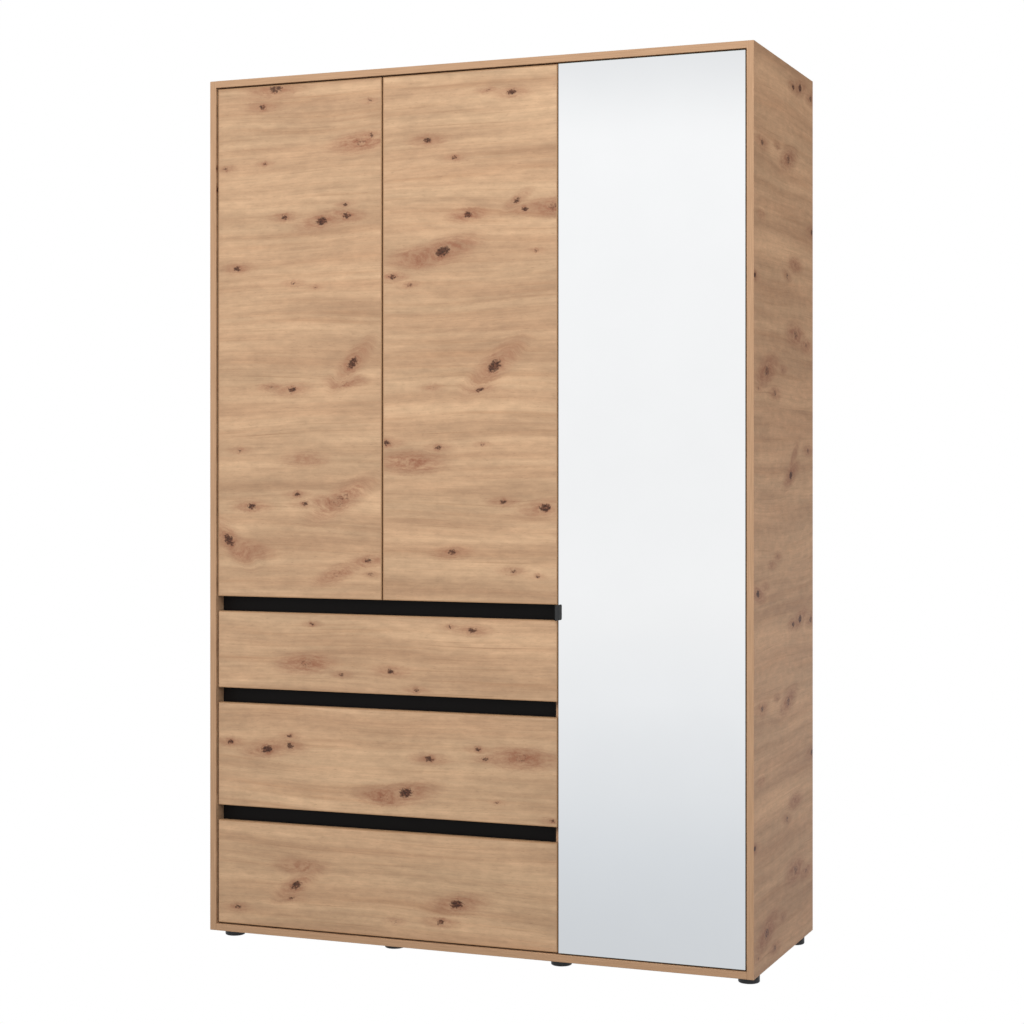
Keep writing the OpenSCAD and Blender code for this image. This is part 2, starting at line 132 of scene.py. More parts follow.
flow = add(tree, "VectorMath", {0: given["Flow"], 1: squeeze}, operation="ADD").outputs[0]
for socket, value in (("Flow", flow), ("Heart", heart), ("Blush", blush)):
    tree.links.new(value, result[socket])
knot_tree = tree

# Knots spread by chance over a board that has none listed: one to a cell at most, with sizes
# in millimetres.
KNOT_CELL = (150.0, 105.0)
SMALL_KNOT, LARGE_KNOT = 1.5, 8.0
tree, given, result = new_group(
    "oak_knots_scattered", [("At", "Vector")],
    [("Flow", "Vector"), ("Heart", "Float"), ("Blush", "Float")])
per_cell = (1 / KNOT_CELL[0], 1 / KNOT_CELL[1], 0.0)
cell_at = add(tree, "VectorMath", {0: given["At"], 1: per_cell}, operation="MULTIPLY").outputs[0]
cells = add(tree, "TexVoronoi", {"Vector": cell_at, "Scale": 1.0}, voronoi_dimensions="2D").outputs
away = add(tree, "VectorMath", {0: cell_at, 1: cells["Position"]}, operation="SUBTRACT").outputs[0]
away = add(tree, "VectorMath", {0: away, 1: (*KNOT_CELL, 0.0)}, operation="MULTIPLY").outputs[0]
chance = add(tree, "SeparateColor", {0: cells["Color"]}).outputs
size = add(tree, "MapRange", {0: chance[0], 3: SMALL_KNOT, 4: LARGE_KNOT}).outputs[0]
there = add(tree, "MapRange", {0: chance[1], 1: 0.35, 2: 0.55}, **SMOOTH).outputs[0]
squashed = add(tree, "VectorMath", {0: away, 1: (0.62, 1.0, 0.0)}, operation="MULTIPLY").outputs[0]
reach = add(tree, "VectorMath", {0: squashed}, operation="LENGTH").outputs["Value"]
reach = add(tree, "Math", {0: reach, 1: size}, operation="DIVIDE").outputs[0]
heart = add(tree, "MapRange", {0: reach, 1: 1.3, 2: 0.6}, **SMOOTH).outputs[0]
heart = add(tree, "Math", {0: heart, 1: there}, operation="MULTIPLY").outputs[0]
halo = add(tree, "MapRange", {0: reach, 1: 3.6, 2: 0.4}, **SMOOTH).outputs[0]
halo = add(tree, "Math", {0: halo, 1: there}, operation="MULTIPLY").outputs[0]
squeeze = add(tree, "VectorMath", {0: away, 1: (0.0, -0.7, 0.0)}, operation="MULTIPLY").outputs[0]
squeeze = add(tree, "VectorMath", {0: squeeze, "Scale": halo}, operation="SCALE").outputs[0]
flow = add(tree, "VectorMath", {0: given["At"], 1: squeeze}, operation="ADD").outputs[0]
for socket, value in (("Flow", flow), ("Heart", heart), ("Blush", halo)):
    tree.links.new(value, result[socket])
scatter_tree = tree

# The printed figure itself: wide soft tone bands, streaks and fibres along the grain, and pores.
# Real fibres and pores are under half a millimetre wide. They are drawn coarser, so that they show.
SWAY = 60.0
tree, given, result = new_group(
    "oak_figure",
    [("Flow", "Vector"), ("Heart", "Float"), ("Blush", "Float"), ("Place", "Vector")],
    [("Colour", "Color"), ("Roughness", "Float"), ("Height", "Float")])
sway = stretched_noise(tree, given["Flow"], 700.0, 240.0, 1.0)
sway = add(tree, "Math", {0: sway, 1: 0.5}, operation="SUBTRACT").outputs[0]
sway = add(tree, "CombineXYZ", {"Y": sway}).outputs[0]
sway = add(tree, "VectorMath", {0: sway, "Scale": SWAY}, operation="SCALE").outputs[0]
grain = add(tree, "VectorMath", {0: given["Flow"], 1: sway}, operation="ADD").outputs[0]
# Each layer: its blots, length by width in millimetres, then the noise's detail and roughness, and
# the two values between which it rises from none to all.
layer = {}
for name, length, width, detail, rough, low, high, curve in (
        ("bands", 1100.0, 48.0, 4.0, 0.6, 0.3, 0.7, SMOOTH),
        ("pink", 640.0, 22.0, 3.0, 0.6, 0.5, 0.8, SMOOTH),
        ("streaks", 260.0, 6.0, 4.0, 0.7, 0.3, 0.7, {}),
        ("fibres", 34.0, 1.8, 3.0, 0.7, 0.25, 0.75, {}),
        ("mottle", 44.0, 17.0, 4.0, 0.65, 0.25, 0.75, {}),
        ("clouds", 520.0, 95.0, 3.0, 0.6, 0.3, 0.7, SMOOTH),
        ("pores", 16.0, 1.1, 1.0, 0.5, 0.64, 0.76, SMOOTH),
        ("veins", 420.0, 4.2, 2.0, 0.55, 0.6, 0.78, SMOOTH),
        ("ragged", 26.0, 6.0, 4.0, 0.7, 0.3, 0.7, SMOOTH)):
    noise = stretched_noise(tree, grain, length, width, detail, rough)
    layer[name] = add(tree, "MapRange", {0: noise, 1: low, 2: high}, **curve).outputs[0]
colour = add(tree, "Mix", {0: layer["bands"], 6: rgb("#bb9574"), 7: rgb("#d1ad89")}, **COLOURS).outputs[2]
share = add(tree, "Math", {0: layer["pink"], 1: 0.42}, operation="MULTIPLY").outputs[0]
colour = add(tree, "Mix", {0: share, 6: colour, 7: rgb("#ac7f5c")}, **COLOURS).outputs[2]
tone = 1.0
for name, dark, light in (("streaks", 0.92, 1.07), ("fibres", 0.95, 1.04), ("mottle", 0.86, 1.12),
                          ("clouds", 0.87, 1.09)):
    factor = add(tree, "MapRange", {0: layer[name], 3: dark, 4: light}).outputs[0]
    tone = add(tree, "Math", {0: tone, 1: factor}, operation="MULTIPLY").outputs[0]
colour = add(tree, "VectorMath", {0: colour, "Scale": tone}, operation="SCALE").outputs[0]
for name, strength, shade in (("veins", 0.5, "#9c7453"), ("pores", 0.4, "#7a5238")):
    share = add(tree, "Math", {0: layer[name], 1: strength}, operation="MULTIPLY").outputs[0]
    colour = add(tree, "Mix", {0: share, 6: colour, 7: rgb(shade)}, **COLOURS).outputs[2]
# Round a knot the wood reddens in ragged flecks.
red = add(tree, "MapRange", {0: layer["ragged"], 3: 0.3, 4: 0.95}).outputs[0]
blush = add(tree, "Math", {0: given["Blush"], 1: 0.75}, operation="POWER").outputs[0]
red = add(tree, "Math", {0: red, 1: blush}, operation="MULTIPLY").outputs[0]
colour = add(tree, "Mix", {0: red, 6: colour, 7: rgb("#925c43")}, **COLOURS).outputs[2]
# Its heart is crumbly bark, brown with near-black splits.
split = stretched_noise(tree, given["Place"], 7.0, 4.5, 3.0, 0.7)
crumbs = add(tree, "MapRange", {0: split, 1: 0.3, 2: 0.7, 3: -0.5, 4: 0.4}).outputs[0]
crumbs = add(tree, "Math", {0: crumbs, 1: given["Heart"]}, operation="ADD").outputs[0]
heart = add(tree, "MapRange", {0: crumbs, 1: 0.28, 2: 0.72}, **SMOOTH).outputs[0]
heart = add(tree, "Math", {0: heart, 1: given["Heart"]}, operation="MULTIPLY").outputs[0]
heart = add(tree, "Math", {0: heart, 1: 0.45}, operation="POWER").outputs[0]
split = add(tree, "MapRange", {0: split, 1: 0.35, 2: 0.6}, **SMOOTH).outputs[0]
bark = add(tree, "Mix", {0: split, 6: rgb("#6a3f2c"), 7: rgb("#301911")}, **COLOURS).outputs[2]
colour = add(tree, "Mix", {0: heart, 6: colour, 7: bark}, **COLOURS).outputs[2]
rough = add(tree, "MapRange", {0: layer["fibres"], 3: 0.56, 4: 0.47}).outputs[0]
relief = add(tree, "Math", {0: layer["fibres"], 1: layer["pores"]}, operation="SUBTRACT").outputs[0]
for socket, value in (("Colour", colour), ("Roughness", rough), ("Height", relief)):
    tree.links.new(value, result[socket])
figure_tree = tree
# Millimetres: the darker rim round the front boards' faces, their thick edge band drawn with
# painted shade of the gaps, the blots that fray a knot's outline and how far, and the lines of an
# edge band. Knots are lens shapes, longer along the grain.
BAND_AND_SHADE_RIM = 2.4
RAG_BLOT = 7.143
RAG_REACH = (18.0, 13.0, 0.0)
BAND_LINE_GAP, BAND_LINE_LENGTH = 2.0, 83.3
KNOT_SHAPE = (0.78, 0.48)


def oak_laminate(name, thin, corner=(0.0, 0.0, 0.0), knots=(), repeat=0.0, seed=0.0, far_corner=None):
    """Matt melamine printed as knotty oak: soft sheen, grain along the board, plain edge band.

    thin is the board's thin axis, and corner the corner that knots are measured from, in metres.
    A board with a far corner has a thicker edge band, drawn round its face as a darker rim that is
    also painted shade of the gaps between the fronts.
    """
    made, tree, shader = new_material(name)
    place = add(tree, "TexCoord").outputs
    at = add(tree, "VectorMath", {0: place["Object"], 1: corner}, operation="SUBTRACT").outputs[0]
    at = add(tree, "VectorMath", {0: at, "Scale": MM_PER_M}, operation="SCALE").outputs[0]
    parts = add(tree, "SeparateXYZ", {0: at}).outputs
    along, up, through = {"X": (1, 2, 0), "Y": (0, 2, 1), "Z": (0, 1, 2)}[thin]
    sideways, upwards = parts[along], parts[up]
    if repeat:
        upwards = add(tree, "Math", {0: upwards, 1: repeat, 2: 0.0}, operation="WRAP").outputs[0]
    if not knots:
        # Boards one behind another take different parts of the print.
        shift = add(tree, "Math", {0: parts[through], 1: 2.7, 2: seed}, operation="MULTIPLY_ADD").outputs[0]
        sideways = add(tree, "Math", {0: sideways, 1: shift}, operation="ADD").outputs[0]
        upwards = add(tree, "Math", {0: shift, 1: 0.61, 2: upwards}, operation="MULTIPLY_ADD").outputs[0]
    board = add(tree, "CombineXYZ", {0: sideways, 1: upwards, 2: seed}).outputs[0]
    rag = add(tree, "TexNoise", {"Vector": board, "Scale": 1 / RAG_BLOT, "Detail": 4.0,
                                 "Roughness": 0.65}).outputs["Color"]
    rag = add(tree, "VectorMath", {0: rag, 1: (0.5, 0.5, 0.5)}, operation="SUBTRACT").outputs[0]
    rag = add(tree, "VectorMath", {0: rag, 1: RAG_REACH}, operation="MULTIPLY").outputs[0]
    flow, heart, blush = board, 0.0, 0.0
    for u, v, across, tilt, depth, redness in knots:
        size = (across * KNOT_SHAPE[0], across * KNOT_SHAPE[1], 1.0)
        knot = add(tree, "Group", {"Flow": flow, "Rag": rag, "Heart": heart, "Blush": blush,
                                   "Centre": (u, v, seed), "Tilt": (0.0, 0.0, math.radians(tilt)),
                                   "Size": size, "Depth": depth, "Redness": redness},
                   node_tree=knot_tree)
        flow, heart, blush = knot.outputs
    if not knots:
        uneven = add(tree, "VectorMath", {0: board, 1: rag}, operation="ADD").outputs[0]
        flow, heart, blush = add(tree, "Group", {"At": uneven}, node_tree=scatter_tree).outputs
    figure = add(tree, "Group", {"Flow": flow, "Heart": heart, "Blush": blush, "Place": board},
                 node_tree=figure_tree).outputs
    # Edge band: plain tan, with weak lines along the edge.
    axis = Vector([float(thin == a) for a in "XYZ"])
    per_line = [MM_PER_M / (BAND_LINE_GAP if thin == a else BAND_LINE_LENGTH) for a in "XYZ"]
    lines = add(tree, "VectorMath", {0: place["Object"], 1: per_line}, operation="MULTIPLY").outputs[0]
    lines = add(tree, "TexNoise", {"Vector": lines, "Scale": 1.0, "Detail": 3.0}).outputs[0]
    lines = add(tree, "MapRange", {0: lines, 1: 0.3, 2: 0.7}).outputs[0]
    band = add(tree, "Mix", {0: lines, 6: rgb("#b08b6b"), 7: rgb("#c39c7a")}, **COLOURS).outputs[2]
    facing = add(tree, "VectorMath", {0: place["Normal"], 1: axis}, operation="DOT_PRODUCT").outputs["Value"]
    facing = add(tree, "Math", {0: facing}, operation="ABSOLUTE").outputs[0]
    face = add(tree, "MapRange", {0: facing, 1: 0.9, 2: 0.97}, **SMOOTH).outputs[0]
    colour = add(tree, "Mix", {0: face, 6: band, 7: figure["Colour"]}, **COLOURS).outputs[2]
    # The glue line shows as a darker line all round the face. It covers the rounded edge, so it is
    # also painted shade of the gaps between boards.
    glue_line_and_shade = add(tree, "Math", {0: facing, 1: 0.7, 2: 0.26}, operation="COMPARE").outputs[0]
    colour = add(tree, "Mix", {0: glue_line_and_shade, 6: colour, 7: rgb("#ad8764")}, **COLOURS).outputs[2]
    # The thick edge band's rim round the face is drawn darker than the band: painted shade of the gap round
    # each front.
    if far_corner is not None:
        middle = [(b - a) * MM_PER_M / 2 for a, b in zip(corner, far_corner)]
        out = add(tree, "VectorMath", {0: at, 1: middle}, operation="SUBTRACT").outputs[0]
        out = add(tree, "VectorMath", {0: out}, operation="ABSOLUTE").outputs[0]
        out = add(tree, "VectorMath", {0: out, 1: middle}, operation="SUBTRACT").outputs[0]
        out = add(tree, "SeparateXYZ", {0: out}).outputs
        out = add(tree, "Math", {0: out[along], 1: out[up]}, operation="MAXIMUM").outputs[0]
        band_and_shade_rim = add(tree, "Math", {0: out, 1: -BAND_AND_SHADE_RIM}, operation="GREATER_THAN").outputs[0]
        colour = add(tree, "Mix", {0: band_and_shade_rim, 6: colour, 7: rgb("#ad8764")}, **COLOURS).outputs[2]
    bump = add(tree, "Bump", {"Strength": 0.2, "Distance": 0.0001, "Height": figure["Height"]}).outputs[0]
    for socket, value in (("Base Color", colour), ("Roughness", figure["Roughness"]), ("Normal", bump)):
        tree.links.new(value, shader.inputs[socket])
    shader.inputs["Specular IOR Level"].default_value = 0.3
    return made
def finish_in(node, material):
    """The node's object takes the material in every slot."""
    mesh = nodes[node].data
    mesh.materials.clear()
    mesh.materials.append(material)


def ease_edges(node, radius, steps=2):
    """Sharp edges are broken to a small radius, as a band or a saw cut leaves them."""
    weld = nodes[node].modifiers.new("joined_faces", "WELD")
    weld.merge_threshold = 0.00001
    bevel = nodes[node].modifiers.new("eased_edges", "BEVEL")
    bevel.width = radius
    bevel.segments = steps
    bevel.limit_method = "ANGLE"
    bevel.angle_limit = math.radians(40)


# Radii: a board's thin edge band, the front boards' thick one, sawn edges inside a drawer.
EDGE_RADIUS = 0.0009
FRONT_EDGE_RADIUS = 0.0019
SAWN_EDGE_RADIUS = 0.0005
side_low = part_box("side_panel_right")[0]
# Knots of the right side: millimetres back and up, size, tilt, darkness and redness. The print
# repeats every 1250 mm up the board.
RIGHT_SIDE_KNOTS = [
    (345, 750, 14, 0, 0.8, 0.7), (412, 758, 18, 10, 0.86, 0.84), (515, 750, 16, 0, 0.63, 0.7),
    (70, 582, 15, 0, 0.63, 0.7), (300, 576, 22, 12, 0.52, 1), (200, 593, 9, 0, 0.34, 0.56),
    (525, 430, 15, 0, 0.69, 0.56), (60, 422, 10, 0, 0.23, 0.56), (365, 338, 18, 0, 0.23, 0.84),
    (290, 306, 12, -8, 0.57, 0.56), (8, 285, 12, 0, 0.95, 0.42), (370, 175, 24, 0, 0.46, 1),
    (470, 155, 16, 0, 0.46, 0.84), (110, 80, 26, 15, 0.52, 1), (250, 88, 10, 0, 0.34, 0.56),
    (180, 32, 14, 0, 0.52, 0.7), (40, 43, 9, -10, 0.34, 0.42), (490, 1155, 14, 0, 0.57, 0.7),
    (325, 1097, 19, 20, 0.86, 0.98), (350, 1135, 15, 40, 0.11, 0.84), (205, 913, 10, 0, 0.4, 0.56),
    (160, 896, 10, 0, 0.23, 0.56), (35, 838, 16, -10, 0.95, 1), (95, 850, 10, 0, 0.4, 0.56),
]
oak_right_side = oak_laminate("oak_laminate_right_side", "X", side_low, RIGHT_SIDE_KNOTS, 1250.0, 11.0)
oak_upright = oak_laminate("oak_laminate_upright", "X", seed=23.0)
oak_level = oak_laminate("oak_laminate_level", "Z", seed=31.0)
oak_facing = oak_laminate("oak_laminate_facing", "Y", seed=47.0)
finish_in("side_panel_right", oak_right_side)
uprights = ["side_panel_left", "partition"]
levels = ["top_panel", "bottom_panel", "divider_shelf", "hat_shelf", "fixed_shelf"]
levels += [f"loose_shelf_{i}" for i in range(1, 5)]
for node in uprights:
    finish_in(node, oak_upright)
for node in levels:
    finish_in(node, oak_level)
for node in uprights + levels + ["side_panel_right"]:
    ease_edges(node, EDGE_RADIUS)


# ---- Grip rails ----------------------------------------------------------------------------
# Rails set back behind the grooves above the drawers: the same board in black melamine, whose
# fine pearl texture gives a soft grey sheen and never a hard highlight. The pearl is drawn coarser
# than the real one, so that it shows.

black_laminate, tree, shader = new_material("black_melamine_pearl")
place = add(tree, "TexCoord").outputs["Object"]
PEARL, CLOUD = 1.1, 71.4
pearl = add(tree, "TexNoise", {"Vector": place, "Scale": MM_PER_M / PEARL, "Detail": 2.0}).outputs[0]
cloud = add(tree, "TexNoise", {"Vector": place, "Scale": MM_PER_M / CLOUD, "Detail": 2.0}).outputs[0]
# The black is darker than bare black melamine: partly the board's own colour, partly painted shade of the
# deep groove in front of the rail.
colour = add(tree, "Mix", {0: cloud, 6: rgb("#0d0b0a"), 7: rgb("#13100f")}, **COLOURS).outputs[2]
rough = add(tree, "MapRange", {0: cloud, 3: 0.6, 4: 0.72}).outputs[0]
bump = add(tree, "Bump", {"Strength": 0.4, "Distance": 0.00008, "Height": pearl}).outputs[0]
for socket, value in (("Base Color", colour), ("Roughness", rough), ("Normal", bump)):
    tree.links.new(value, shader.inputs[socket])
shader.inputs["Specular IOR Level"].default_value = 0.2
for node in ("grip_rail_top", "grip_rail_middle", "grip_rail_bottom"):
    finish_in(node, black_laminate)
    ease_edges(node, EDGE_RADIUS)


# ---- Back ----------------------------------------------------------------------------------
# Three sheets of 3 mm hardboard nailed behind the carcass: printed with pale oak inside, bare
# brown fibre outside, which is drawn coarser than the real one so that it shows. A white plastic
# profile joins two of them. Drawer bottoms are the same sheet, printed on top.

hardboard, tree, shader = new_material("hardboard_printed_inside")
place = add(tree, "TexCoord").outputs
FIBRE, PATCH = 2.4, 200.0
fibre = add(tree, "TexNoise", {"Vector": place["Object"], "Scale": MM_PER_M / FIBRE, "Detail": 4.0,
                               "Roughness": 0.7, "Distortion": 0.6}).outputs[0]
patch = add(tree, "TexNoise", {"Vector": place["Object"], "Scale": MM_PER_M / PATCH,
                               "Detail": 3.0}).outputs[0]
bare = add(tree, "Mix", {0: patch, 6: rgb("#8d6c4e"), 7: rgb("#a07e5d")}, **COLOURS).outputs[2]
pale = add(tree, "MapRange", {0: fibre, 1: 0.3, 2: 0.75}, **SMOOTH).outputs[0]
bare = add(tree, "Mix", {0: pale, 6: bare, 7: rgb("#b8966f")}, **COLOURS).outputs[2]
at = add(tree, "VectorMath", {0: place["Object"], "Scale": MM_PER_M}, operation="SCALE").outputs[0]
parts = add(tree, "SeparateXYZ", {0: at}).outputs
across_grain = add(tree, "Math", {0: parts[1], 1: parts[2]}, operation="ADD").outputs[0]
printed_at = add(tree, "CombineXYZ", {0: parts[0], 1: across_grain, 2: 53.0}).outputs[0]
printed = add(tree, "Group", {"Flow": printed_at}, node_tree=figure_tree).outputs["Colour"]
# The print is on the faces that look to the front or upwards.
inside = add(tree, "VectorMath", {0: place["Normal"], 1: (0.0, -1.0, 1.0)},
             operation="DOT_PRODUCT").outputs["Value"]
inside = add(tree, "Math", {0: inside, 1: 0.8}, operation="GREATER_THAN").outputs[0]
colour = add(tree, "Mix", {0: inside, 6: bare, 7: printed}, **COLOURS).outputs[2]
rough = add(tree, "MapRange", {0: inside, 3: 0.82, 4: 0.55}).outputs[0]
bump = add(tree, "Bump", {"Strength": 0.35, "Distance": 0.0002, "Height": fibre}).outputs[0]
for socket, value in (("Base Color", colour), ("Roughness", rough), ("Normal", bump)):
    tree.links.new(value, shader.inputs[socket])

# The sheet's own thickness. The nail heads on it take the rest of the back panels' box.
SHEET_T = 0.0026


def new_piece(name, build, material, body):
    """An object of the mesh that build fills in, riding on a body."""
    shell = bmesh.new()
    build(shell)
    bmesh.ops.recalc_face_normals(shell, faces=shell.faces)
    mesh = bpy.data.meshes.new(name)
    shell.to_mesh(mesh)
    shell.free()
    mesh.materials.append(material)
    piece = bpy.data.objects.new(name, mesh)
    bpy.context.scene.collection.objects.link(piece)
    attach(piece, body)
    return piece


def ring(count, radius, height, turn=0.0):
    """Points of a round ring about the z axis."""
    angles = [turn + 2 * math.pi * i / count for i in range(count)]
    return [Vector((radius * math.cos(a), radius * math.sin(a), height)) for a in angles]


def back_sheet(shell, low, high, holes):
    """A flat sheet with round holes through it, from its two corners in the row frame."""
    corners = [(low.x, low.z), (high.x, low.z), (high.x, high.z), (low.x, high.z)]
    loops = [[Vector((x, low.y, z)) for x, z in corners]]
    for x, z, radius in holes:
        loops.append([Vector((x + p.x, low.y, z + p.y)) for p in ring(24, radius, 0.0)])
    edges = []
    for loop in loops:
        verts = [shell.verts.new(p) for p in loop]
        edges += [shell.edges.new((a, b)) for a, b in zip(verts, verts[1:] + verts[:1])]
    filled = bmesh.ops.triangle_fill(shell, edges=edges, use_beauty=True)
    faces = [f for f in filled["geom"] if isinstance(f, bmesh.types.BMFace)]
    grown = bmesh.ops.extrude_face_region(shell, geom=faces)
    moved = [v for v in grown["geom"] if isinstance(v, bmesh.types.BMVert)]
    bmesh.ops.translate(shell, verts=moved, vec=(0.0, SHEET_T, 0.0))


# The wall brackets are screwed through a hole at their outer end.
BRACKET_HOLE_IN, BRACKET_HOLE_DOWN, HOLE_RADIUS = 0.015, 0.024, 0.003
bracket_low, bracket_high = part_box("wall_brackets")
hole_z = bracket_high.z - BRACKET_HOLE_DOWN
wall_holes = {"left": [(bracket_low.x + BRACKET_HOLE_IN, hole_z, HOLE_RADIUS)], "middle": [],
              "right": [(bracket_high.x - BRACKET_HOLE_IN, hole_z, HOLE_RADIUS)]}
for name, holes in wall_holes.items():
    low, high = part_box(f"back_panel_{name}")
    sheet = new_piece(f"back_sheet_{name}", lambda shell: back_sheet(shell, low, high, holes),
                      hardboard, "carcass")
    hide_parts(f"back_panel_{name}")

# Extruded PVC: white with a soft gloss, and faint die lines along its length.
DIE_LINE, DIE_LINE_LENGTH = 1.11, 166.7
white_pvc, tree, shader = new_material("white_pvc_extruded")
place = add(tree, "TexCoord").outputs["Object"]
per_line = [MM_PER_M / size for size in (DIE_LINE, DIE_LINE, DIE_LINE_LENGTH)]
drawn = add(tree, "VectorMath", {0: place, 1: per_line}, operation="MULTIPLY").outputs[0]
drawn = add(tree, "TexNoise", {"Vector": drawn, "Scale": 1.0, "Detail": 2.0}).outputs[0]
colour = add(tree, "Mix", {0: drawn, 6: rgb("#dcdad4"), 7: rgb("#e8e6e1")}, **COLOURS).outputs[2]
rough = add(tree, "MapRange", {0: drawn, 3: 0.38, 4: 0.48}).outputs[0]
for socket, value in (("Base Color", colour), ("Roughness", rough)):
    tree.links.new(value, shader.inputs[socket])
finish_in("back_joint_strip", white_pvc)


# ---- Feet and stops ------------------------------------------------------------------------
# Round glide feet and small door stops, moulded in black polypropylene: near black, with a
# satin skin and a faint orange peel from the mould.

black_pp, tree, shader = new_material("black_polypropylene_moulded")
place = add(tree, "TexCoord").outputs["Object"]
PEEL, SCUFF = 1.43, 16.7
peel = add(tree, "TexNoise", {"Vector": place, "Scale": MM_PER_M / PEEL, "Detail": 2.0}).outputs[0]
scuff = add(tree, "TexNoise", {"Vector": place, "Scale": MM_PER_M / SCUFF, "Detail": 4.0}).outputs[0]
colour = add(tree, "Mix", {0: scuff, 6: rgb("#141414"), 7: rgb("#1f1e1e")}, **COLOURS).outputs[2]
rough = add(tree, "MapRange", {0: scuff, 3: 0.32, 4: 0.5}).outputs[0]
bump = add(tree, "Bump", {"Strength": 0.25, "Distance": 0.0001, "Height": peel}).outputs[0]
for socket, value in (("Base Color", colour), ("Roughness", rough), ("Normal", bump)):
    tree.links.new(value, shader.inputs[socket])
for node in ("feet_front", "feet_rear", "door_stops"):
    finish_in(node, black_pp)


# ---- Zinc-plated fittings ------------------------------------------------------------------
# Cam locks, shelf pins, wall brackets, screws and drawer runners: pressed steel with bright
# zinc plating, which is bluish grey with a soft crystal mottle and fine rolling lines, drawn
# coarser than the real ones so that they show.

zinc_steel, tree, shader = new_material("zinc_plated_steel")
place = add(tree, "TexCoord").outputs["Object"]
SPANGLE, ROLL_LINE, ROLL_LINE_LENGTH = 3.85, 1.11, 83.3
spangle = add(tree, "TexVoronoi", {"Vector": place, "Scale": MM_PER_M / SPANGLE}).outputs["Color"]
spangle = add(tree, "SeparateColor", {0: spangle}).outputs[0]
per_line = [MM_PER_M / size for size in (ROLL_LINE, ROLL_LINE_LENGTH, ROLL_LINE)]
rolled = add(tree, "VectorMath", {0: place, 1: per_line}, operation="MULTIPLY").outputs[0]
rolled = add(tree, "TexNoise", {"Vector": rolled, "Scale": 1.0, "Detail": 3.0}).outputs[0]
colour = add(tree, "Mix", {0: spangle, 6: rgb("#b3b8bd"), 7: rgb("#c6cacd")}, **COLOURS).outputs[2]
rough = add(tree, "MapRange", {0: rolled, 3: 0.24, 4: 0.42}).outputs[0]
bump = add(tree, "Bump", {"Strength": 0.15, "Distance": 0.00005, "Height": rolled}).outputs[0]
for socket, value in (("Base Color", colour), ("Roughness", rough), ("Normal", bump)):
    tree.links.new(value, shader.inputs[socket])
shader.inputs["Metallic"].default_value = 1.0
zinc_nodes = ["cam_locks", "shelf_pins", "wall_brackets", "handle_screws", "cabinet_runners"]
for name in ("top", "middle", "bottom"):
    zinc_nodes += [f"drawer_{name}_rails", f"drawer_{name}_mid_rails"]
for node in zinc_nodes:
    finish_in(node, zinc_steel)


# Flat-headed nails hold the back sheets to the carcass, about 125 mm apart: along the outer edges
# and both sheet joints, and along the top and bottom, where they keep clear of the corners.
NAIL_PITCH = 0.125
NAIL_INSET = 0.0075
JOINT_INSET = 0.004
CORNER_GAP = 0.060
NAIL_HEAD = 0.0021


def stack(shell, place, loops):
    """A closed solid from rings of equal count, in order along its axis."""
    rows = [[shell.verts.new(place @ p) for p in loop] for loop in loops]
    for lower, upper in zip(rows, rows[1:]):
        for i in range(len(lower)):
            j = (i + 1) % len(lower)
            shell.faces.new((lower[i], lower[j], upper[j], upper[i]))
    shell.faces.new(rows[0][::-1])
    shell.faces.new(rows[-1])


def spaced(start, end):
    """Places from start to end at about the nail pitch."""
    steps = max(1, round((end - start) / NAIL_PITCH))
    return [start + (end - start) * i / steps for i in range(steps + 1)]


def nails(shell):
    """All the nail heads, which stand off the sheets as far as the back panels' box does."""
    low_left, high_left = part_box("back_panel_left")
    low_middle, high_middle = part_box("back_panel_middle")
    low_right, high_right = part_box("back_panel_right")
    bottom, top = low_left.z + NAIL_INSET, high_left.z - NAIL_INSET
    spots = []
    for x in (low_left.x + NAIL_INSET, high_middle.x - JOINT_INSET, low_right.x + JOINT_INSET,
              high_right.x - NAIL_INSET):
        spots += [(x, z) for z in spaced(bottom, top)]
    for low, high in ((low_left, high_left), (low_middle, high_middle), (low_right, high_right)):
        for x in spaced(low.x + CORNER_GAP, high.x - CORNER_GAP):
            spots += [(x, bottom), (x, top)]
    face = low_left.y + SHEET_T
    proud = high_left.y - face
    loops = [ring(16, NAIL_HEAD, -0.0005), ring(16, NAIL_HEAD, proud * 0.4),
             ring(16, NAIL_HEAD * 0.8, proud * 0.85), ring(16, NAIL_HEAD * 0.4, proud)]
    for x, z in spots:
        outward = Matrix.Translation((x, face, z)) @ Matrix.Rotation(math.radians(-90), 4, "X")
        stack(shell, outward, loops)


new_piece("back_nails", nails, zinc_steel, "carcass")


# ---- Hanging rail --------------------------------------------------------------------------
# Oval tube across the hanging space in two cup-shaped holders, steel with bright chrome: almost
# white reflections, drawn a little along the tube. The drawing lines are coarser than the real
# ones, so that they show.

chrome, tree, shader = new_material("chrome_plated_steel")
place = add(tree, "TexCoord").outputs["Object"]
DRAW_LINE, DRAW_LINE_LENGTH = 1.43, 125.0
per_line = [MM_PER_M / size for size in (DRAW_LINE_LENGTH, DRAW_LINE, DRAW_LINE)]
drawn = add(tree, "VectorMath", {0: place, 1: per_line}, operation="MULTIPLY").outputs[0]
drawn = add(tree, "TexNoise", {"Vector": drawn, "Scale": 1.0, "Detail": 2.0}).outputs[0]
colour = add(tree, "Mix", {0: drawn, 6: rgb("#d9dadd"), 7: rgb("#e9eaec")}, **COLOURS).outputs[2]
rough = add(tree, "MapRange", {0: drawn, 3: 0.05, 4: 0.14}).outputs[0]
for socket, value in (("Base Color", colour), ("Roughness", rough)):
    tree.links.new(value, shader.inputs[socket])
shader.inputs["Metallic"].default_value = 1.0
for node in ("hanging_rail", "rail_sockets"):
    finish_in(node, chrome)


# ---- Doors ---------------------------------------------------------------------------------
# Two short doors over the drawers, cut from one sheet of the same laminate with the grain
# across. Each hangs on three cup hinges, left at its left edge and right at the partition. Knots
# are set in millimetres across and up, with size, tilt, darkness and redness.

